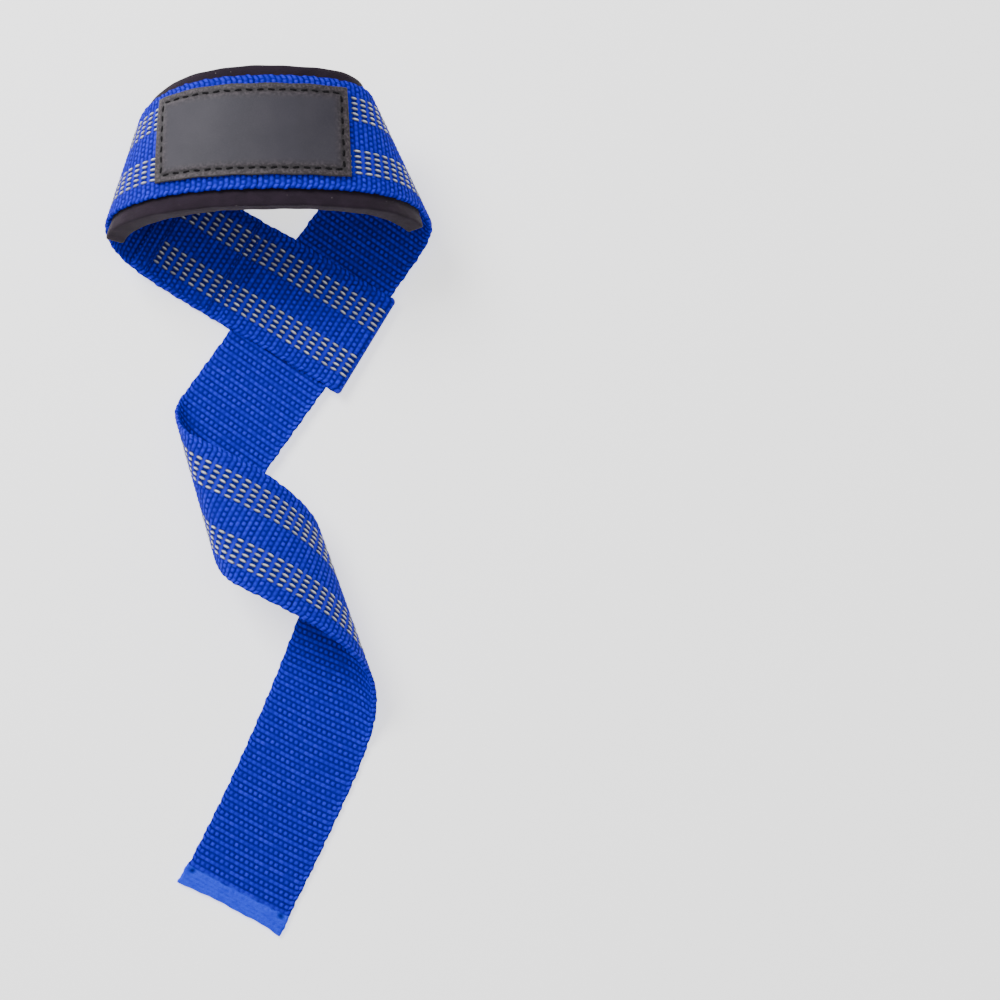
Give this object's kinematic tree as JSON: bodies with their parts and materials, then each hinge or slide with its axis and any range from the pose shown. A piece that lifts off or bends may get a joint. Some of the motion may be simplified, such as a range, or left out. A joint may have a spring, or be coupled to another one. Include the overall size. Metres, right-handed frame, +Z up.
{
  "type": "wrist lifting strap",
  "caption": "Webbing lifting strap with a foam-padded wrist arch, a plain sewn patch and a free end passed through its own folded eye, lying rolled on a surface.",
  "frame": {"origin": "middle of the bounding box's underside, on the surface the strap lies on", "axes": "+Y along the strap's greatest length, from the free end to the wrist arch; +Z up; +X to the eye's fold"},
  "size_m": [0.1096, 0.2844, 0.052],
  "materials": {
    "woven_webbing": "ribbed weave, matte with a slight sheen, two rows of grey dashes on the outer face",
    "neoprene_foam": null,
    "patch_fabric": "smooth matte dark grey synthetic leather, bare"
  },
  "bodies": {
    "root": {"webbing_strap": "woven_webbing", "wrist_pad": "neoprene_foam", "label_patch": "patch_fabric"}
  },
  "joints": []
}
